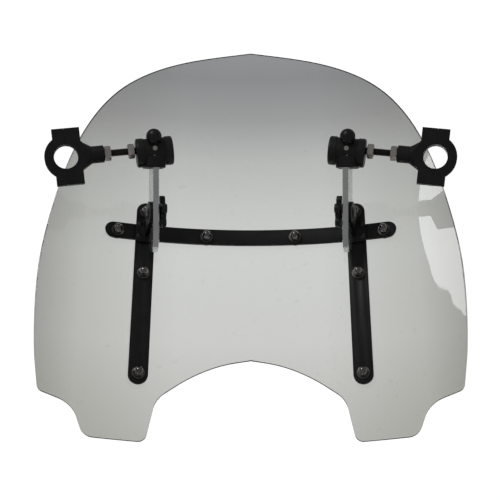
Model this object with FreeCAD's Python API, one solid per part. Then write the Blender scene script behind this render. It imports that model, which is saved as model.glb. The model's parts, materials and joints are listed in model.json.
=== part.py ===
import FreeCAD, Part
import math
import os

# Detachable motorcycle windscreen on two adjustable handlebar arms, in millimetres.
# +Z runs up the straight rulings of the curved screen, +Y points forward in the
# direction of travel and the rider sits on the -Y side. The origin lies midway between
# the two handlebar clamp bores.

# Screen
SCREEN_RADIUS = 574.6        # rider-side (hollow) face
SCREEN_THICKNESS = 4.8
EDGE_ROUNDING = 1.2
SCREEN_FORWARD = 91.1        # rider-side face at the centre line, forward of the clamps
CROSS_HEIGHT = -50.0         # centre of the cross strap, below the clamp bores

# Straps
STRAP_THICKNESS = 3.0
CROSS_WIDTH = 18.6
UPRIGHT_WIDTH = 20.8
CROSS_HALF_LENGTH = 159.3
CROSS_LIFT = 0.7             # the cross strap's middle, above its screws
UPRIGHT_ARC = 118.0          # distance of each upright strap from the centre line
UPRIGHT_TOP = 36.0           # ends of the upright straps, from the cross strap
UPRIGHT_BOTTOM = -177.0
CROSS_SCREW_ARCS = (49.5, 148.3)
UPRIGHT_SCREW_HEIGHTS = (24.0, -50.8, -165.3)

# Screen fasteners
SCREW_RADIUS = 3.0
HOLE_RADIUS = 3.3
WASHER_RADIUS = 6.8
WASHER_THICKNESS = 1.2
RUBBER_THICKNESS = 1.6
SCREW_HEAD_RADIUS = 5.6
SCREW_HEAD_HEIGHT = 3.2
ACORN_FLATS = 10.0
ACORN_HEX_HEIGHT = 5.0
ACORN_DOME_HEIGHT = 4.2

# Bracket rivets, outboard of each lug
RIVET_RADIUS = 2.0
RIVET_OFFSET = 6.6
RIVET_SPACING = 7.5
RIVET_DOME_RADIUS = 4.3
RIVET_DOME_SUNK = 2.6

# Support bar and its pivot
BAR_LEAN = 27.6              # the bars lean back from the screen towards the rider
BAR_YAW = -15.0              # the bars turn roughly square to the screen
BAR_X = 104.1
BAR_WIDTH = 28.0
BAR_THICKNESS = 6.4
BAR_CHAMFER = 0.7
PIVOT_TO_BARREL = 68.4      # from the pivot up to the threaded rod's axis
PIVOT_TO_BAR_END = 42.5
PIVOT_RADIUS = 4.0
LUG_THICKNESS = 2.8
LUG_RADIUS = 12.0
FACE_GAP = 0.2
RUNNING = 0.05
KNOB_WASHER_THICKNESS = 1.2
KNOB_BORE_DEPTH = 6.0
KNOB_DISC_RADIUS = 12.5
KNOB_HEAD = 5.6
LOBE_COUNT = 5
LOBE_RADIUS = 5.4
LOBE_CENTRES = 13.0          # how far the lobes lie from the knob's own axis
HUB_RADIUS = 7.0
HUB_STEP = 1.0               # the hub stands proud of the head on both sides

# Barrel joint and arm
ARM_DROOP = 6.2              # the arms slope down towards the clamps
ARM_YAW = -10.0              # and come a little closer to the rider
BARREL_RADIUS = 14.8
BARREL_HALF_LENGTH = 19.7
BARREL_DROP = 2.8            # the rod runs this far above the barrel's own axis
CAP_LENGTH = 8.0
CAP_FLOOR = 2.2
COLLAR_HALF_LENGTH = 11.2
COLLAR_HALF_DEPTH = 15.0
COLLAR_DROP = 17.6           # from the barrel's axis down to the collar's end
CAP_WALL = 0.8
BUSH_RADIUS = 12.5
ROD_RADIUS = 4.0
NUT_FLATS = 14.0
NUT_HEIGHT = 7.0
NUT_INNER_START = 21.4
NUT_OUTER_START = 46.3
ROD_HEAD_RADIUS = 8.0
ROD_HEAD_LENGTH = 4.0
ROD_HEAD_GAP = 0.4           # clear of the cap and of the bush
ROD_IN_BOSS = 15.0
KNOB_STEM_RADIUS = 3.0
SET_SCREW_RADIUS = 2.5
SET_SCREW_START = 9.4        # from the rod's axis, outside the slanting stem
BALL_RADIUS = 8.3
BALL_HEIGHT = 20.6
BALL_TILT = 42.0             # the ball knob leans towards the rider

# Handlebar clamp, for a 25.4 mm (1 inch) bar
CLAMP_REACH = 93.9
CLAMP_BORE = 12.75
CLAMP_RING = 22.7
CLAMP_DEPTH = 22.0
EAR_HALF_WIDTH = 14.6
EAR_HALF_HEIGHT = 29.9
EAR_SHIFT = -2.0             # the ears stand a little inboard of the bore
CLAMP_ROUNDING = 1.2
SPLIT_GAP = 0.2
BOSS_RADIUS = 9.2
BOLT_OFFSET = 22.0
RECESS_DEPTH = 6.5
BOLT_RADIUS = 3.0
BOLT_HEAD_RADIUS = 5.0
BOLT_HEAD_HEIGHT = 5.5

V = FreeCAD.Vector
X = V(1, 0, 0)
Y = V(0, 1, 0)
Z = V(0, 0, 1)
AXIS_Y = SCREEN_FORWARD - SCREEN_RADIUS   # where the screen's centre of curvature lies


# ---- small helpers ----

def cylinder(radius, low, high, axis=Z):
    """A cylinder on an axis through the origin, from low to high along it."""
    return Part.makeCylinder(radius, high - low, axis * low, axis)


def tube(outer, inner, low, high, axis=Z):
    return cylinder(outer, low, high, axis).cut(cylinder(inner, low - 1, high + 1, axis))


def box(x, y, z):
    """A box from three (low, high) pairs."""
    size = (x[1] - x[0], y[1] - y[0], z[1] - z[0])
    return Part.makeBox(*size, V(x[0], y[0], z[0]))


def hexagon(flats, low, high, axis=Z):
    """A hexagonal prism on an axis, with its corner edges turned down as on a nut."""
    corner = flats / math.sqrt(3)
    points = [V(corner * math.cos(i * math.pi / 3), corner * math.sin(i * math.pi / 3), 0)
              for i in range(7)]
    prism = Part.Face(Part.makePolygon(points)).extrude(Z * (high - low))
    nut = prism.common(blunt_cylinder(corner, high - low, 0.09 * flats))
    nut.Placement = FreeCAD.Placement(axis * low, FreeCAD.Rotation(Z, axis))
    return nut


def blunt_cylinder(radius, height, chamfer):
    """A cylinder from z = 0 with both rims chamfered."""
    profile = Part.makePolygon([V(0, 0, 0), V(radius - chamfer, 0, 0),
                                V(radius, 0, 0.6 * chamfer),
                                V(radius, 0, height - 0.6 * chamfer),
                                V(radius - chamfer, 0, height), V(0, 0, height), V(0, 0, 0)])
    return Part.Face(profile).revolve(V(), Z, 360)


def slot_prism(half_width, low, high, depth):
    """A round-ended bar shape along Y, extruded both ways along Z."""
    body = box((-half_width, half_width), (low + half_width, high - half_width),
               (-depth, depth))
    ends = [cylinder(half_width, -depth, depth) for _ in range(2)]
    ends[0].translate(V(0, low + half_width, 0))
    ends[1].translate(V(0, high - half_width, 0))
    return body.multiFuse(ends).removeSplitter()


def moved(shape, placement):
    out = shape.copy()
    out.Placement = placement.multiply(out.Placement)
    return out


def mirrored(shape):
    return shape.mirror(V(), X)


# ---- frames ----

def wall_place(arc, height, above=0.0):
    """A frame on the screen's hollow face: local Z points at the rider, local Y up."""
    angle = arc / SCREEN_RADIUS
    radius = SCREEN_RADIUS - above
    spot = V(radius * math.sin(angle), AXIS_Y + radius * math.cos(angle),
             CROSS_HEIGHT + height)
    across = V(math.cos(angle), -math.sin(angle), 0)
    inward = V(-math.sin(angle), -math.cos(angle), 0)
    return FreeCAD.Placement(spot, FreeCAD.Rotation(across, Z, inward, "ZYX"))


def seat_lift(strap_face):
    """How far a flat washer stands off a hollow face that it bears on with its rim."""
    radius = SCREEN_RADIUS - strap_face
    return radius - math.sqrt(radius ** 2 - WASHER_RADIUS ** 2) + 0.01


def lean():
    return FreeCAD.Rotation(X, BAR_LEAN)


def arm_direction():
    turn = FreeCAD.Rotation(Z, ARM_YAW).multiply(FreeCAD.Rotation(Y, ARM_DROOP))
    return lean().multiply(turn)


def barrel_centre():
    """On the rod's axis at mid-barrel: inboard of the clamp bore and up the droop."""
    back = arm_direction().multVec(X) * CLAMP_REACH
    return V(BAR_X, -back.y, -back.z)


def barrel_place():
    return FreeCAD.Placement(barrel_centre(), arm_direction())


def shell_place():
    """The barrel's own axis, which runs below the rod's."""
    down = FreeCAD.Placement(Z * -BARREL_DROP, FreeCAD.Rotation())
    return barrel_place().multiply(down)


def clamp_place():
    along = arm_direction().multVec(X) * CLAMP_REACH
    return FreeCAD.Placement(barrel_centre() + along, arm_direction())


def bar_place():
    """A frame on the pivot: local Z runs up the bar and local X is the pivot axis."""
    down = lean().multVec(Z) * PIVOT_TO_BARREL
    turn = lean().multiply(FreeCAD.Rotation(Z, BAR_YAW))
    return FreeCAD.Placement(barrel_centre() - down, turn)


def shell(above_low, above_high):
    """The curved layer between two distances from the hollow face, towards the rider."""
    low = -260 + CROSS_HEIGHT
    outer = Part.makeCylinder(SCREEN_RADIUS - above_low, 540, V(0, AXIS_Y, low), Z)
    inner = Part.makeCylinder(SCREEN_RADIUS - above_high, 540, V(0, AXIS_Y, low), Z)
    return outer.cut(inner)


def screw_spots():
    """Each screen screw: its arc, height, and the height of the strap face it clamps."""
    spots = []
    for side in (-1, 1):
        spots += [(side * arc, 0.0, STRAP_THICKNESS) for arc in CROSS_SCREW_ARCS]
        spots += [(side * UPRIGHT_ARC, height, 2 * STRAP_THICKNESS)
                  for height in UPRIGHT_SCREW_HEIGHTS]
    return spots


def at_screws(make, uprights_only=False):
    """One solid per screw, from a function of the strap face's height."""
    solids = []
    for arc, height, face in screw_spots():
        if uprights_only and face == STRAP_THICKNESS:
            continue
        solids.append(moved(make(face), wall_place(arc, height)))
    return Part.makeCompound(solids)


def screw_holes():
    return [moved(cylinder(HOLE_RADIUS, -12, 14), wall_place(arc, height))
            for arc, height, _ in screw_spots()]


def rivet_places():
    return [wall_place(side * (UPRIGHT_ARC + RIVET_OFFSET), height)
            for side in (-1, 1) for height in (-RIVET_SPACING, RIVET_SPACING)]


def rivet_holes():
    return [moved(cylinder(RIVET_RADIUS, -1, 20), place) for place in rivet_places()]


# ---- screen ----

def rounded_run(start, corners, end):
    """Straight edges from start to end, with each corner (x, z, radius) rounded."""
    edges = []
    here = V(*start)
    ends = corners[1:] + [(end[0], end[2], 0)]
    for (x, z, radius), (next_x, next_z, _) in zip(corners, ends):
        corner = V(x, 0, z)
        back = (here - corner).normalize()
        on = (V(next_x, 0, next_z) - corner).normalize()
        half = back.getAngle(on) / 2
        first = corner + back * (radius / math.tan(half))
        last = corner + on * (radius / math.tan(half))
        middle = corner + (back + on).normalize() * (radius / math.sin(half) - radius)
        edges.append(Part.LineSegment(here, first).toShape())
        edges.append(Part.Arc(first, middle, last).toShape())
        here = last
    edges.append(Part.LineSegment(here, V(*end)).toShape())
    return edges


def smooth_run(points, first_slope, last_slope):
    curve = Part.BSplineCurve()
    curve.interpolate(Points=[V(x, 0, z) for x, z in points],
                      InitialTangent=V(*first_slope), FinalTangent=V(*last_slope))
    return curve.toShape()


def screen_outline():
    """Half of the outline, from the top's soft peak down to the arch, then its mirror."""
    side = smooth_run([(0, 259), (83.4, 239), (147.7, 197), (190.0, 126), (217.6, 12),
                       (224.6, -66), (219.6, -156), (215.5, -181.7)],
                      (1, 0, -0.16), (-0.16, 0, -1))
    foot = rounded_run((215.5, 0, -181.7),
                       [(214.0, -191.0, 7), (180.3, -201.3, 30), (167.6, -234.2, 14),
                        (106.9, -235.8, 9), (98.0, -189.6, 28)],
                       (77.5, 0, -174.2))
    arch = smooth_run([(77.5, -174.2), (53.1, -159.2), (28.1, -149.4), (0, -144)],
                      (-0.8, 0, 0.6), (-1, 0, 0.16))
    half = [side] + foot + [arch]
    return Part.Wire(Part.__sortEdges__(half + [mirrored(edge) for edge in half]))


def windscreen():
    face = Part.Face(screen_outline())
    face.translate(V(0, SCREEN_FORWARD - 70, CROSS_HEIGHT))
    sheet = face.extrude(V(0, 90, 0)).common(shell(-SCREEN_THICKNESS, 0))
    rims = [edge for edge in sheet.Edges if not crosses_wall(edge)]
    return sheet.makeFillet(EDGE_ROUNDING, rims).cut(screw_holes())


def crosses_wall(edge):
    """Whether an edge of the sheet runs through its thickness."""
    first, last = (math.hypot(point.x, point.y - AXIS_Y) for point in
                   (edge.valueAt(edge.FirstParameter), edge.valueAt(edge.LastParameter)))
    return abs(first - last) > SCREEN_THICKNESS / 2


# ---- straps and brackets ----

def cross_strap():
    blank = slot_prism(CROSS_WIDTH / 2, -CROSS_HALF_LENGTH, CROSS_HALF_LENGTH, 60)
    blank.rotate(V(), Z, 90)
    strap = moved(blank, wall_place(0, CROSS_LIFT)).common(shell(0, STRAP_THICKNESS))
    return strap.cut(screw_holes() + rivet_holes())


def upright_strap():
    blank = slot_prism(UPRIGHT_WIDTH / 2, UPRIGHT_BOTTOM, UPRIGHT_TOP, 20)
    layer = shell(STRAP_THICKNESS, 2 * STRAP_THICKNESS)
    strap = moved(blank, wall_place(UPRIGHT_ARC, 0)).common(layer)
    return strap.cut(screw_holes() + rivet_holes())


def lug_blank():
    """The flat lug outboard of the bar, from its round pivot end to the strap."""
    low = BAR_THICKNESS / 2 + FACE_GAP
    high = low + LUG_THICKNESS
    leg = box((low, high), (0, 50), (-LUG_RADIUS, LUG_RADIUS))
    leg = leg.fuse(cylinder(LUG_RADIUS, low, high, X))
    leg.rotate(V(), X, -BAR_LEAN)
    return leg


def pivot_bracket():
    base_low = 2 * STRAP_THICKNESS
    base_high = base_low + STRAP_THICKNESS
    edge = UPRIGHT_WIDTH / 2
    foot = box((-edge, edge), (-14, 14), (-5, 20))
    foot = foot.makeFillet(4, [e for e in foot.Edges if abs(e.tangentAt(0).z) > 0.9])
    foot = moved(foot, wall_place(UPRIGHT_ARC, 0)).common(shell(base_low, base_high))
    lug = moved(lug_blank(), bar_place())
    lug = lug.common(shell(base_low, 70))
    bracket = foot.fuse(lug).removeSplitter()
    pivot = moved(cylinder(PIVOT_RADIUS, -20, 20, X), bar_place())
    return bracket.cut([pivot] + rivet_holes())


def bracket_rivets():
    top = 3 * STRAP_THICKNESS
    shank = cylinder(RIVET_RADIUS, 0, top)
    dome = Part.makeSphere(RIVET_DOME_RADIUS, V(0, 0, top + 0.03 - RIVET_DOME_SUNK))
    dome = dome.common(cylinder(RIVET_DOME_RADIUS, top + 0.03, top + RIVET_DOME_RADIUS))
    dome = dome.fuse(cylinder(RIVET_RADIUS, top - 0.5, top + 0.5))
    rivet = shank.fuse(dome).removeSplitter()
    return Part.makeCompound([moved(rivet, place) for place in rivet_places()])


# ---- screen fasteners ----

def screen_screw(face):
    under_head = -SCREEN_THICKNESS - RUBBER_THICKNESS
    tip = face + seat_lift(face) + WASHER_THICKNESS + ACORN_HEX_HEIGHT
    ball = Part.makeSphere(6.6, V(0, 0, under_head + 6.6 - SCREW_HEAD_HEIGHT))
    head = ball.common(cylinder(SCREW_HEAD_RADIUS, under_head - 4, under_head))
    socket = hexagon(4.0, under_head - 4, under_head - 1.2)
    return head.cut(socket).fuse(cylinder(SCREW_RADIUS, under_head, tip)).removeSplitter()


def screen_washer(_face):
    low = -SCREEN_THICKNESS - RUBBER_THICKNESS
    return tube(WASHER_RADIUS, SCREW_RADIUS, low, -SCREEN_THICKNESS)


def strap_washer(face):
    low = face + seat_lift(face)
    return tube(WASHER_RADIUS, SCREW_RADIUS, low, low + WASHER_THICKNESS)


def strap_spacer(_face):
    return tube(WASHER_RADIUS, SCREW_RADIUS, seat_lift(0), STRAP_THICKNESS)


def acorn_nut(face):
    low = face + seat_lift(face) + WASHER_THICKNESS
    top = low + ACORN_HEX_HEIGHT
    dome = Part.makeSphere(4.6, V(0, 0, top)).common(cylinder(4.6, top, top + 5))
    nut = hexagon(ACORN_FLATS, low, top).fuse(dome).removeSplitter()
    return nut.cut(cylinder(SCREW_RADIUS, low, top))


# ---- support bar, pivot bolt and knob, in the bar's frame ----

def bar_blank():
    half = BAR_WIDTH / 2
    top = PIVOT_TO_BARREL + BARREL_RADIUS
    bar = box((-BAR_THICKNESS / 2, BAR_THICKNESS / 2), (-half, half),
              (half - PIVOT_TO_BAR_END, top))
    end = cylinder(half, -BAR_THICKNESS / 2, BAR_THICKNESS / 2, X)
    end.translate(V(0, 0, half - PIVOT_TO_BAR_END))
    bar = bar.fuse(end).removeSplitter()
    rims = [e for e in bar.Edges if e.BoundBox.XLength < 0.01]
    return bar.makeChamfer(BAR_CHAMFER, rims)


def support_bar():
    hole = cylinder(PIVOT_RADIUS + RUNNING, -10, 10, X)
    bar = moved(bar_blank().cut(hole), bar_place())
    barrel = moved(cylinder(BARREL_RADIUS, -30, 30, X), shell_place())
    above = moved(box((-30, 30), (-30, 30), (0, 60)), shell_place())
    return bar.cut([barrel, above])


def pivot_bolt():
    """Headed against the lug, through the bar and into the knob on the inboard side."""
    head_face = BAR_THICKNESS / 2 + FACE_GAP + LUG_THICKNESS
    shank = cylinder(PIVOT_RADIUS, knob_face() - KNOB_BORE_DEPTH + 0.3, head_face, X)
    head = Part.makeSphere(12, V(head_face + 2.6 - 12, 0, 0))
    head = head.common(cylinder(7, head_face, head_face + 3, X))
    return moved(shank.fuse(head).removeSplitter(), bar_place())


def knob_washer():
    high = -BAR_THICKNESS / 2 - FACE_GAP
    washer = tube(7.5, PIVOT_RADIUS, high - KNOB_WASHER_THICKNESS, high, X)
    return moved(washer, bar_place())


def knob_face():
    """Where the knob's bearing face lies along the pivot axis."""
    return -BAR_THICKNESS / 2 - KNOB_WASHER_THICKNESS - 2 * FACE_GAP


def tilt_knob():
    """A five-lobed hand knob with a short hub, bored to turn on the pivot bolt."""
    face = knob_face()
    inner = face - HUB_STEP
    outer = inner - KNOB_HEAD
    head = cylinder(KNOB_DISC_RADIUS, outer, inner, X)
    for i in range(LOBE_COUNT):
        angle = math.radians(90 + 360 / LOBE_COUNT * i)
        lobe = cylinder(LOBE_RADIUS, outer, inner, X)
        lobe.translate(V(0, math.cos(angle), math.sin(angle)) * LOBE_CENTRES)
        head = head.fuse(lobe)
    head = head.removeSplitter()
    hub = cylinder(HUB_RADIUS, outer - HUB_STEP, face, X)
    bore = cylinder(PIVOT_RADIUS + RUNNING, face - KNOB_BORE_DEPTH, face + 1, X)
    return moved(head.fuse(hub).cut(bore), bar_place())


def bar_collar():
    """The saddle that joins the bar's upper end to the barrel, clear of the end caps."""
    top = PIVOT_TO_BARREL - BARREL_DROP
    block = box((-COLLAR_HALF_LENGTH, COLLAR_HALF_LENGTH), (-COLLAR_HALF_DEPTH, COLLAR_HALF_DEPTH),
                (top - COLLAR_DROP, top))
    upright = [e for e in block.Edges if abs(e.tangentAt(0).z) > 0.9]
    block = block.makeFillet(7, upright)
    rim = [e for e in block.Edges if e.BoundBox.ZMax < top - COLLAR_DROP + 0.1]
    block = moved(block.makeFillet(1.2, rim), bar_place())
    cap_start = BARREL_HALF_LENGTH - CAP_LENGTH - FACE_GAP
    cap_radius = BARREL_RADIUS + CAP_WALL + FACE_GAP
    caps = [moved(cylinder(cap_radius, cap_start, 30, axis), shell_place()) for axis in (X, -X)]
    barrel = moved(cylinder(BARREL_RADIUS, -30, 30, X), shell_place())
    above = moved(box((-40, 40), (-40, 40), (-5, 60)), shell_place())
    return block.cut([barrel, above, moved(bar_blank(), bar_place())] + caps)


# ---- barrel joint, in the arm's frame ----

def sleeve_half():
    return BARREL_HALF_LENGTH - CAP_FLOOR


def rod_head_low():
    return ROD_HEAD_GAP * 2 - sleeve_half()


def barrel_crossings():
    """The ball knob's hole and the set screw's, in the barrel's own frame."""
    knob_hole = cylinder(KNOB_STEM_RADIUS + RUNNING, 0, 30, knob_direction())
    screw_hole = cylinder(SET_SCREW_RADIUS, 0, 30, -Y)
    screw_hole.translate(Z * BARREL_DROP)
    return [knob_hole, screw_hole]


def barrel_sleeve():
    sleeve = tube(BARREL_RADIUS, BUSH_RADIUS, -sleeve_half(), sleeve_half(), X)
    return moved(sleeve.cut(barrel_crossings()), shell_place())


def barrel_cap(side):
    """A cup pressed over the sleeve's end; the outer one is bored for the rod."""
    outer = cylinder(BARREL_RADIUS + CAP_WALL, BARREL_HALF_LENGTH - CAP_LENGTH,
                     BARREL_HALF_LENGTH, X)
    rims = [e for e in outer.Edges if e.BoundBox.XMin > BARREL_HALF_LENGTH - 0.1]
    cup = outer.makeFillet(2.2, rims).cut(cylinder(BARREL_RADIUS, 0, sleeve_half(), X))
    if side > 0:
        rod_hole = cylinder(ROD_RADIUS + 0.6, 0, 30, X)
        rod_hole.translate(Z * BARREL_DROP)
        cup = cup.cut(rod_hole)
    else:
        cup = cup.mirror(V(), X)
    return moved(cup, shell_place())


def rod_bush():
    """A plug that fills the sleeve from the rod's head outwards, bored off its centre."""
    start = rod_head_low() + ROD_HEAD_LENGTH + ROD_HEAD_GAP
    bush = cylinder(BUSH_RADIUS, start, sleeve_half(), X)
    rod_hole = cylinder(ROD_RADIUS + RUNNING, -30, 30, X)
    rod_hole.translate(Z * BARREL_DROP)
    return moved(bush.cut([rod_hole] + barrel_crossings()), shell_place())


def set_screw():
    """The short socket screw in the rider's side of the barrel, clear of the knob's stem."""
    surface = math.sqrt(BARREL_RADIUS ** 2 - BARREL_DROP ** 2)
    screw = cylinder(SET_SCREW_RADIUS, SET_SCREW_START, surface - 0.6, -Y)
    return moved(screw.cut(hexagon(2.5, surface - 2.6, 20, -Y)), barrel_place())


def knob_direction():
    return FreeCAD.Rotation(X, BALL_TILT).multVec(Z)


def ball_knob():
    """The ball-headed thumb screw on the barrel, turned on its own axis to lock it."""
    seat = BARREL_RADIUS + 0.3
    neck = Part.makeCone(6.6, 5.0, 5.0, Z * seat, Z)
    ball = Part.makeSphere(BALL_RADIUS, Z * BALL_HEIGHT)
    ball = ball.common(box((-20, 20), (-20, 20), (seat, 40)))
    rod_along = BARREL_DROP * math.cos(math.radians(BALL_TILT))
    stem = cylinder(KNOB_STEM_RADIUS, rod_along + ROD_RADIUS + 0.4, seat, Z)
    knob = ball.fuse(neck).fuse(stem).removeSplitter()
    knob.rotate(V(), X, BALL_TILT)
    return moved(knob, shell_place())


def threaded_rod():
    """The rod from its head inside the barrel to its end inside the clamp's boss."""
    low = rod_head_low()
    rod = cylinder(ROD_RADIUS, low + 1, rod_reach(), X)
    head = cylinder(ROD_HEAD_RADIUS, low, low + ROD_HEAD_LENGTH, X)
    return moved(rod.fuse(head).removeSplitter(), barrel_place())


def rod_reach():
    """How far from mid-barrel the rod ends, inside the clamp's boss."""
    return NUT_OUTER_START + NUT_HEIGHT + ROD_IN_BOSS


def rod_nut(start, bore_radius):
    nut = hexagon(NUT_FLATS, start, start + NUT_HEIGHT, X)
    return moved(nut.cut(cylinder(bore_radius, 0, 90, X)), barrel_place())


def barrel_nut():
    return rod_nut(NUT_INNER_START, ROD_RADIUS)


def clamp_nut():
    return rod_nut(NUT_OUTER_START, ROD_RADIUS + RUNNING)


# ---- handlebar clamp, in a frame on its bore ----

def clamp_blank():
    """The ring with its two ears, before it is split in two halves."""
    half = CLAMP_DEPTH / 2
    ring = cylinder(CLAMP_RING, -half, half, Y)
    ears = box((EAR_SHIFT - EAR_HALF_WIDTH, EAR_SHIFT + EAR_HALF_WIDTH), (-half, half),
               (-EAR_HALF_HEIGHT, EAR_HALF_HEIGHT))
    blank = ring.fuse(ears).removeSplitter()
    rims = [e for e in blank.Edges if e.BoundBox.YLength < 0.01]
    return blank.makeFillet(CLAMP_ROUNDING, rims)


def bolt_seat():
    """Where the bolt heads bear, at the bottom of their recesses."""
    return EAR_SHIFT + EAR_HALF_WIDTH - RECESS_DEPTH


def clamp_bolt_cuts():
    """Clearance for the two bolts: a recess for each head and a hole for each shank."""
    cuts = []
    for side in (-1, 1):
        head = cylinder(BOLT_HEAD_RADIUS + 0.3, bolt_seat(), 40, X)
        shank = cylinder(BOLT_RADIUS, EAR_SHIFT - EAR_HALF_WIDTH + 2, 40, X)
        for cut in (head, shank):
            cut.translate(V(0, 0, side * BOLT_OFFSET))
            cuts.append(cut)
    return cuts


def boss_blank():
    """The boss that takes the rod, flaring into the ring."""
    start = NUT_OUTER_START + NUT_HEIGHT - CLAMP_REACH + 0.2
    boss = blunt_cylinder(BOSS_RADIUS, 30, 1.2)
    boss.Placement = FreeCAD.Placement(X * start, FreeCAD.Rotation(Z, X))
    flare = Part.makeCone(BOSS_RADIUS, 10.9, 11, X * -27, X)
    web = Part.makeCone(BOSS_RADIUS, 16.0, 11, X * -27, X)
    flat = CLAMP_DEPTH / 2 - 0.4
    flare = flare.fuse(web.common(box((-40, 0), (-flat, flat), (-20, 20))))
    return boss.fuse(flare)


def clamp_body():
    half = clamp_blank().fuse(boss_blank()).removeSplitter()
    beyond = box((-SPLIT_GAP / 2, 60), (-40, 40), (-60, 60))
    bore = cylinder(CLAMP_BORE, -60, 60, Y)
    rod_hole = cylinder(ROD_RADIUS + RUNNING, -60, rod_reach() - CLAMP_REACH + 0.5, X)
    return moved(half.cut([beyond, bore, rod_hole] + clamp_bolt_cuts()), clamp_place())


def clamp_cap():
    before = box((-60, SPLIT_GAP / 2), (-40, 40), (-60, 60))
    bore = cylinder(CLAMP_BORE, -60, 60, Y)
    return moved(clamp_blank().cut([before, bore] + clamp_bolt_cuts()), clamp_place())


def clamp_bolts():
    bolts = []
    for side in (-1, 1):
        seat = bolt_seat()
        head = cylinder(BOLT_HEAD_RADIUS, seat, seat + BOLT_HEAD_HEIGHT, X)
        head = head.cut(hexagon(5.0, seat + 2.5, 30, X))
        shank = cylinder(BOLT_RADIUS, EAR_SHIFT - EAR_HALF_WIDTH + 3, seat, X)
        bolt = head.fuse(shank).removeSplitter()
        bolt.translate(V(0, 0, side * BOLT_OFFSET))
        bolts.append(moved(bolt, clamp_place()))
    return Part.makeCompound(bolts)


# ---- the whole object ----

def middle_nodes():
    return {
        "windscreen": windscreen(),
        "cross_strap": cross_strap(),
        "bracket_rivets": bracket_rivets(),
        "screen_screws": at_screws(screen_screw),
        "screen_washers": at_screws(screen_washer),
        "strap_washers": at_screws(strap_washer),
        "strap_spacers": at_screws(strap_spacer, uprights_only=True),
        "acorn_nuts": at_screws(acorn_nut),
    }


def side_nodes():
    return {
        "upright_strap": upright_strap(),
        "pivot_bracket": pivot_bracket(),
        "pivot_bolt": pivot_bolt(),
        "knob_washer": knob_washer(),
        "tilt_knob": tilt_knob(),
        "support_bar": support_bar(),
        "bar_collar": bar_collar(),
        "barrel_sleeve": barrel_sleeve(),
        "barrel_outer_cap": barrel_cap(1),
        "barrel_inner_cap": barrel_cap(-1),
        "rod_bush": rod_bush(),
        "set_screw": set_screw(),
        "ball_knob": ball_knob(),
        "threaded_rod": threaded_rod(),
        "barrel_nut": barrel_nut(),
        "clamp_nut": clamp_nut(),
        "clamp_body": clamp_body(),
        "clamp_cap": clamp_cap(),
        "clamp_bolts": clamp_bolts(),
    }


def main():
    os.makedirs("parts", exist_ok=True)
    nodes = middle_nodes()
    for name, shape in side_nodes().items():
        nodes[name + "_right"] = shape
        nodes[name + "_left"] = mirrored(shape)
    for name, shape in nodes.items():
        shape.exportStep("parts/" + name + ".step")
        print(name, len(shape.Solids), round(shape.Volume), shape.isValid())


main()
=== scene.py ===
import json
import math

import bmesh
import bpy
from mathutils import Matrix, Vector


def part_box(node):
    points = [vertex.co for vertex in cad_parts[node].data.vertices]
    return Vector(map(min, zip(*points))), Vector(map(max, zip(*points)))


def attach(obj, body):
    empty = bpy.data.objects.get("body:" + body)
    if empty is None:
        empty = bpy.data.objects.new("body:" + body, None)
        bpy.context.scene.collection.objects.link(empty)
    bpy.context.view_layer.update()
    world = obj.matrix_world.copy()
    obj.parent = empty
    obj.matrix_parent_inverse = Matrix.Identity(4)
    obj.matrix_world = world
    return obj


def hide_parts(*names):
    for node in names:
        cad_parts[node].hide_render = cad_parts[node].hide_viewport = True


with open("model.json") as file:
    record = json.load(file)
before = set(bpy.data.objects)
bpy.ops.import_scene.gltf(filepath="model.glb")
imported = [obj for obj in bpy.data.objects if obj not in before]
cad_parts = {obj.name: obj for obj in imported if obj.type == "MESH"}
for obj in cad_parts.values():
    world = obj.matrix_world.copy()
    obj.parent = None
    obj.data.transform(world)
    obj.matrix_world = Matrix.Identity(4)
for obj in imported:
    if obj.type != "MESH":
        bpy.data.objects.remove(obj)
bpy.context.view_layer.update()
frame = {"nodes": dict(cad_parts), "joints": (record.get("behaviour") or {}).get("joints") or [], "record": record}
NODES = frame["nodes"]
BODIES = frame["record"]["behaviour"]["bodies"]
SLOTS = {part["node"]: part["material_slot"] for part in frame["record"]["subparts"]}
BODY_OF = {node: body for body, nodes in BODIES.items() for node in nodes}
JOINTS = {joint["name"]: joint for joint in frame["joints"]}
SIDES = ("right", "left")

# The camera: below the cross strap, looking up square to the leaning support bars.
LEAN = math.radians(27.6)
CAMERA_DISTANCE = 1.2009
CAMERA_RISE = 0.0139         # how far the cross strap stands above the line of sight
CROSS_STRAP = Vector((0, 0.0866, -0.0500))
VIEW_FORWARD = Vector((0, math.cos(LEAN), math.sin(LEAN)))
VIEW_UP = Vector((0, -math.sin(LEAN), math.cos(LEAN)))
FOCAL_RATIO = 1080.8 / 500
SENSOR = 36.0
CAMERA_SHIFT = -0.0015
CAMERA_REACH = 50
WORLD_STRENGTH = 1.05
MIRRORED_STRENGTH = 0.20     # what polished surfaces see of the bright surroundings
FLOOR_SIZE = 120
FLOOR_HEIGHT = -1.05

# Each area light: name, place, size, power and whether polished surfaces mirror it.
AREA_LIGHTS = (
    ("key", (-0.9, -1.3, 0.9), 0.7, 8, True),
    ("fill", (1.2, -1.0, 0.1), 0.9, 4, False),
    ("rim", (0.2, 1.4, 1.0), 1.0, 8, True),
)


# ---- node-material helpers ----

def new_material(name):
    material = bpy.data.materials.new(name)
    material.use_nodes = True
    tree = material.node_tree
    return material, tree, tree.nodes["Principled BSDF"]


def position(tree, stretch=(1, 1, 1)):
    """Object-space position, stretched, as a vector socket."""
    place = tree.nodes.new("ShaderNodeTexCoord")
    mapping = tree.nodes.new("ShaderNodeMapping")
    mapping.inputs["Scale"].default_value = stretch
    tree.links.new(place.outputs["Object"], mapping.inputs["Vector"])
    return mapping.outputs["Vector"]


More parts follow.
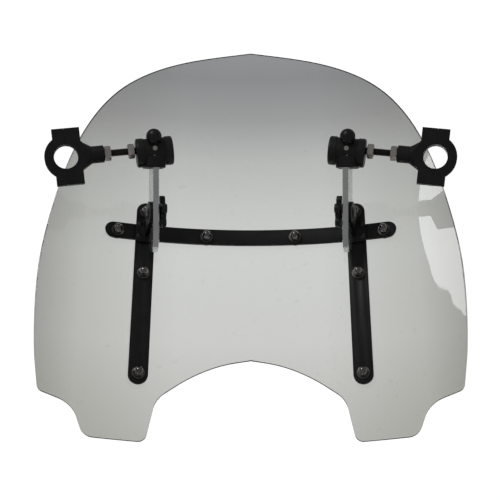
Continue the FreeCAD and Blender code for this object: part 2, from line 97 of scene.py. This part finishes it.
def noise(tree, vector, scale, detail=3.0, roughness=0.55):
    node = tree.nodes.new("ShaderNodeTexNoise")
    node.inputs["Scale"].default_value = scale
    node.inputs["Detail"].default_value = detail
    node.inputs["Roughness"].default_value = roughness
    tree.links.new(vector, node.inputs["Vector"])
    return node.outputs["Fac"]


def ramp(tree, value, stops):
    """A colour ramp from (position, colour or grey) stops."""
    node = tree.nodes.new("ShaderNodeValToRGB")
    elements = node.color_ramp.elements
    while len(elements) < len(stops):
        elements.new(0.5)
    for element, (at, colour) in zip(elements, stops):
        element.position = at
        if not hasattr(colour, "__len__"):
            colour = (colour, colour, colour)
        element.color = (*colour, 1)
    tree.links.new(value, node.inputs["Fac"])
    return node.outputs["Color"]


def map_range(tree, value, low, high):
    """The value taken from low to high onto 0 to 1."""
    node = tree.nodes.new("ShaderNodeMapRange")
    node.inputs["From Min"].default_value = low
    node.inputs["From Max"].default_value = high
    tree.links.new(value, node.inputs["Value"])
    return node.outputs["Result"]


def mix_colours(tree, factor, first, second, mode="MIX"):
    node = tree.nodes.new("ShaderNodeMix")
    node.data_type = "RGBA"
    node.blend_type = mode
    for socket, value in ((node.inputs[0], factor), (node.inputs[6], first),
                          (node.inputs[7], second)):
        if hasattr(value, "is_output"):
            tree.links.new(value, socket)
        elif hasattr(value, "__len__"):
            socket.default_value = (*value, 1)
        else:
            socket.default_value = value
    return node.outputs[2]


def bump(tree, shader, height, strength, distance):
    node = tree.nodes.new("ShaderNodeBump")
    node.inputs["Strength"].default_value = strength
    node.inputs["Distance"].default_value = distance
    tree.links.new(height, node.inputs["Height"])
    tree.links.new(node.outputs["Normal"], shader.inputs["Normal"])


def surface(name, colours, rough, grain, metallic=0.0, stretch=(1, 1, 1), coat=0.0,
            bump_height=0.00005, bump_strength=0.4, patch=35.0, specular=0.5):
    """A general surface: mottled colour, varied roughness and a fine grain in relief."""
    material, tree, shader = new_material(name)
    spot = position(tree, stretch)
    mottle = noise(tree, position(tree), patch, 4)
    fine = noise(tree, spot, grain, 5, 0.65)
    tree.links.new(ramp(tree, mottle, [(0.3, colours[0]), (0.72, colours[1])]),
                   shader.inputs["Base Color"])
    tree.links.new(ramp(tree, fine, [(0.3, rough[0]), (0.7, rough[1])]),
                   shader.inputs["Roughness"])
    shader.inputs["Metallic"].default_value = metallic
    shader.inputs["Specular IOR Level"].default_value = specular
    shader.inputs["Coat Weight"].default_value = coat
    shader.inputs["Coat Roughness"].default_value = 0.25
    bump(tree, shader, fine, bump_strength, bump_height)
    return material


# ---- materials ----

def smoked_screen():
    """Clear sheet, grey with its smoke tint, with painted reflection and shade making it darker towards its top,
    bottom and sides, and with specks and wipe marks.
    """
    material, tree, shader = new_material("smoked_screen")
    split = tree.nodes.new("ShaderNodeSeparateXYZ")
    place = tree.nodes.new("ShaderNodeTexCoord")
    tree.links.new(place.outputs["Object"], split.inputs["Vector"])
    low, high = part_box("windscreen")
    up = map_range(tree, split.outputs["Z"], low.z, high.z)
    # Painted reflection over the smoke tint: the grey is lightest a little below the middle and darkest near the
    # top.
    tint_and_painted_reflection = ramp(tree, up, [(0.0, (0.46, 0.46, 0.435)), (0.22, (0.585, 0.59, 0.57)),
                           (0.42, (0.60, 0.61, 0.595)), (0.56, (0.54, 0.55, 0.535)),
                           (0.68, (0.46, 0.47, 0.46)), (0.80, (0.315, 0.32, 0.32)),
                           (0.92, (0.245, 0.25, 0.255)), (1.0, (0.27, 0.275, 0.285))])
    # Painted shade: the sheet is made darker towards its sides.
    across = tree.nodes.new("ShaderNodeMath")
    across.operation = "ABSOLUTE"
    tree.links.new(split.outputs["X"], across.inputs[0])
    out = map_range(tree, across.outputs[0], 0.0, high.x)
    painted_side_shade = ramp(tree, out, [(0.0, (1, 1, 1)), (0.35, (1, 1, 1)), (0.62, (0.88, 0.88, 0.865)),
                             (0.8, (0.80, 0.80, 0.78)), (1.0, (0.56, 0.56, 0.54))])
    shaded = mix_colours(tree, 1.0, tint_and_painted_reflection, painted_side_shade, "MULTIPLY")
    specks = noise(tree, position(tree), 150.0, 2, 0.5)
    dust = ramp(tree, specks, [(0.68, (1, 1, 1)), (0.75, (0.90, 0.90, 0.89))])
    tree.links.new(mix_colours(tree, 1.0, shaded, dust, "MULTIPLY"),
                   shader.inputs["Base Color"])
    smears = noise(tree, position(tree, (1, 1, 0.35)), 9.0, 6, 0.6)
    tree.links.new(ramp(tree, smears, [(0.45, 0.015), (0.75, 0.06)]),
                   shader.inputs["Roughness"])
    shader.inputs["Transmission Weight"].default_value = 1.0
    shader.inputs["IOR"].default_value = 1.49
    ripple = noise(tree, position(tree), 5.0, 1)
    bump(tree, shader, ripple, 0.05, 0.001)
    return material


def make_materials():
    dark = ((0.0025, 0.0025, 0.0027), (0.0055, 0.0055, 0.0057))
    soft_black = {"coat": 0.04, "specular": 0.22}
    return {
        "smoked_screen": smoked_screen(),
        "black_steel": surface("black_steel", dark, (0.36, 0.52), 900, bump_height=0.00006,
                               **soft_black),
        "black_zinc": surface("black_zinc", ((0.012, 0.012, 0.013), (0.035, 0.032, 0.030)),
                              (0.26, 0.42), 1400, metallic=0.7),
        "black_cast": surface("black_cast", dark, (0.40, 0.62), 520, bump_height=0.00012,
                              bump_strength=0.6, **soft_black),
        "black_knob": surface("black_knob", dark, (0.3, 0.46), 750, bump_height=0.00006,
                              specular=0.3),
        "polished_bar": surface("polished_bar", ((0.62, 0.63, 0.64), (0.78, 0.79, 0.80)),
                                (0.18, 0.36), 900, metallic=1.0, stretch=(1, 1, 0.04),
                                bump_height=0.00002, bump_strength=0.25),
        # Painted shade: the chrome is coloured far darker than bright chrome, standing in for the shadow on the
        # parts that wear it.
        "chrome": surface("chrome", ((0.16, 0.15, 0.15), (0.26, 0.25, 0.24)),
                          (0.08, 0.18), 600, metallic=1.0, bump_height=0.00001),
        # Painted shade: a darker copy of the bright zinc, for washers that stand in shadow.
        "painted_shade_washer": surface("painted_shade_washer", ((0.10, 0.10, 0.10), (0.20, 0.19, 0.18)),
                               (0.25, 0.45), 1100, metallic=1.0, bump_height=0.00003),
        "bright_zinc": surface("bright_zinc", ((0.50, 0.46, 0.43), (0.70, 0.63, 0.58)),
                               (0.24, 0.42), 1100, metallic=1.0, bump_height=0.00003),
        "rubber": surface("rubber", dark, (0.7, 0.9), 1600, bump_height=0.00008,
                          specular=0.2),
        "bronze": surface("bronze", ((0.42, 0.28, 0.13), (0.55, 0.38, 0.2)),
                          (0.3, 0.5), 900, metallic=1.0),
    }


MATERIALS = make_materials()


# Nodes whose metal is painted darker than the others in their slot, as painted shade.
PAINTED_SHADE_FINISH = {"strap_washers": "painted_shade_washer"}


def dress(obj, node):
    obj.data.materials.clear()
    obj.data.materials.append(MATERIALS[PAINTED_SHADE_FINISH.get(node, SLOTS[node])])


# ---- pieces made from the frame ----

def take_over(piece, node):
    """A new piece stands for a CAD node: same body, same slot, same finish."""
    dress(piece, node)
    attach(piece, BODY_OF[node])
    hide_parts(node)
    return piece


WELD_DISTANCE = 1e-6
FLAT_ANGLE = math.radians(0.5)
SHARP_ANGLE = math.radians(28)
EDGE_SEGMENTS = 3


def softened(node, width):
    """A copy of a CAD node with its hard edges rounded and its curves shaded smooth."""
    mesh = NODES[node].data.copy()
    piece = bpy.data.objects.new(node + "_finished", mesh)
    bpy.context.scene.collection.objects.link(piece)
    work = bmesh.new()
    work.from_mesh(mesh)
    bmesh.ops.remove_doubles(work, verts=work.verts, dist=WELD_DISTANCE)
    bmesh.ops.dissolve_limit(work, angle_limit=FLAT_ANGLE, verts=work.verts,
                             edges=work.edges)
    work.to_mesh(mesh)
    work.free()
    for polygon in mesh.polygons:
        polygon.use_smooth = True
    bevel = piece.modifiers.new("edges", "BEVEL")
    bevel.width = width
    bevel.segments = EDGE_SEGMENTS
    bevel.limit_method = "ANGLE"
    bevel.angle_limit = SHARP_ANGLE
    bevel.harden_normals = True
    bevel.use_clamp_overlap = True
    return take_over(piece, node)


# The clamps, collar, caps and bars carry their own rounded edges in the frame.
EDGE_WIDTHS = {
    "cross_strap": 0.0006, "upright_strap": 0.0006, "pivot_bracket": 0.0005,
    "clamp_nut": 0.0003, "barrel_nut": 0.0003, "tilt_knob": 0.0005,
    "clamp_bolts": 0.0003, "strap_washers": 0.0002, "screen_washers": 0.0004,
    "acorn_nuts": 0.0002,
}


def base_name(node):
    for side in SIDES:
        if node.endswith("_" + side):
            return node[:-len(side) - 1]
    return node


# ---- the threaded rods ----

THREAD_PITCH = 0.00125
THREAD_DEPTH = 0.00068
THREAD_SIDES = 40
RING_STEP = THREAD_PITCH / 8
END_SLACK = 0.0001           # vertices this close to the rod's end belong to it
HEAD_STEP = 1.2              # the head is at least this many times the shank's radius


def rod_frame(side):
    """The rod's axis from its swivel joint: a point on it and three unit directions."""
    joint = JOINTS["rod_swivel_" + side]
    along = Vector(joint["axis"]).normalized()
    if along.x * (1 if side == "right" else -1) < 0:
        along.negate()
    across = along.cross(Vector((0, 0, 1))).normalized()
    return Vector(joint["pos_m"]), along, across, along.cross(across)


def threaded_rod(side):
    """The rod remade with a real screw thread over its shank and its plain head."""
    node = "threaded_rod_" + side
    start, along, across, third = rod_frame(side)
    reaches = [(vertex.co - start).dot(along) for vertex in NODES[node].data.vertices]
    radii = [((vertex.co - start) - along * reach).length
             for vertex, reach in zip(NODES[node].data.vertices, reaches)]
    low, high = min(reaches), max(reaches)
    head_radius = max(radii)
    shank = max(radius for radius, reach in zip(radii, reaches) if reach > high - END_SLACK)
    head_end = max(reach for radius, reach in zip(radii, reaches) if radius > HEAD_STEP * shank)
    head_stations = [low, head_end]
    count = int((high - head_end) / RING_STEP)
    shank_stations = [head_end + (high - head_end) * i / count for i in range(count + 1)]
    work = bmesh.new()
    rings = []
    for index, reach in enumerate(head_stations + shank_stations):
        ring = []
        for i in range(THREAD_SIDES):
            angle = 2 * math.pi * i / THREAD_SIDES
            turn = (reach / THREAD_PITCH - i / THREAD_SIDES) % 1.0
            radius = shank - THREAD_DEPTH * (1 - abs(2 * turn - 1))
            if index < len(head_stations):
                radius = head_radius
            spoke = across * math.cos(angle) + third * math.sin(angle)
            ring.append(work.verts.new(start + along * reach + spoke * radius))
        rings.append(ring)
    for first, second in zip(rings, rings[1:]):
        for i in range(THREAD_SIDES):
            j = (i + 1) % THREAD_SIDES
            work.faces.new((first[i], first[j], second[j], second[i]))
    work.faces.new(rings[0][::-1])
    work.faces.new(rings[-1])
    bmesh.ops.recalc_face_normals(work, faces=work.faces)
    mesh = bpy.data.meshes.new(node + "_thread")
    work.to_mesh(mesh)
    work.free()
    piece = bpy.data.objects.new(node + "_thread", mesh)
    bpy.context.scene.collection.objects.link(piece)
    take_over(piece, node)


def finish_nodes():
    for node, obj in NODES.items():
        dress(obj, node)
    for side in SIDES:
        threaded_rod(side)
    for node in sorted(NODES):
        width = EDGE_WIDTHS.get(base_name(node))
        if width:
            softened(node, width)


# ---- set, camera and light ----

def add_stage():
    bpy.ops.mesh.primitive_plane_add(size=FLOOR_SIZE, location=(0, 0, FLOOR_HEIGHT))
    floor = bpy.context.object
    floor.name = "floor"
    floor.visible_glossy = False
    material, tree, shader = new_material("floor")
    shade = noise(tree, position(tree), 3.0, 2)
    tree.links.new(ramp(tree, shade, [(0.3, 0.80), (0.7, 0.84)]),
                   shader.inputs["Base Color"])
    shader.inputs["Roughness"].default_value = 0.7
    floor.data.materials.append(material)


def add_camera():
    data = bpy.data.cameras.new("camera")
    data.sensor_width = SENSOR
    data.lens = FOCAL_RATIO * SENSOR
    data.shift_x = CAMERA_SHIFT
    data.clip_end = CAMERA_REACH
    camera = bpy.data.objects.new("camera", data)
    bpy.context.scene.collection.objects.link(camera)
    spot = CROSS_STRAP - CAMERA_DISTANCE * VIEW_FORWARD - CAMERA_RISE * VIEW_UP
    right = Vector((1, 0, 0))
    turn = Matrix((right, VIEW_UP, -VIEW_FORWARD)).transposed()
    camera.matrix_world = Matrix.Translation(spot) @ turn.to_4x4()
    bpy.context.scene.camera = camera


def add_area(name, spot, size, power, mirrored):
    """A round light that faces the origin and is not seen through the screen."""
    data = bpy.data.lights.new(name, "AREA")
    data.shape = "DISK"
    data.size = size
    data.energy = power
    light = bpy.data.objects.new(name, data)
    bpy.context.scene.collection.objects.link(light)
    light.location = spot
    light.visible_transmission = False
    light.visible_glossy = mirrored
    light.rotation_euler = (-Vector(spot)).to_track_quat("-Z", "Y").to_euler()


def add_light():
    """An even white world, dimmer where a polished surface mirrors it, and the lights."""
    world = bpy.data.worlds.new("studio")
    bpy.context.scene.world = world
    world.use_nodes = True
    tree = world.node_tree
    background = tree.nodes["Background"]
    background.inputs["Color"].default_value = (1, 1, 1, 1)
    path = tree.nodes.new("ShaderNodeLightPath")
    mirrored = tree.nodes.new("ShaderNodeMath")
    mirrored.operation = "SUBTRACT"
    tree.links.new(path.outputs["Is Glossy Ray"], mirrored.inputs[0])
    tree.links.new(path.outputs["Is Transmission Ray"], mirrored.inputs[1])
    strength = tree.nodes.new("ShaderNodeMapRange")
    strength.inputs["To Min"].default_value = WORLD_STRENGTH
    strength.inputs["To Max"].default_value = MIRRORED_STRENGTH
    tree.links.new(mirrored.outputs[0], strength.inputs["Value"])
    tree.links.new(strength.outputs["Result"], background.inputs["Strength"])
    for row in AREA_LIGHTS:
        add_area(*row)


def build():
    bpy.context.scene.view_settings.view_transform = "Standard"
    add_camera()
    add_light()
    add_stage()
    finish_nodes()


build()
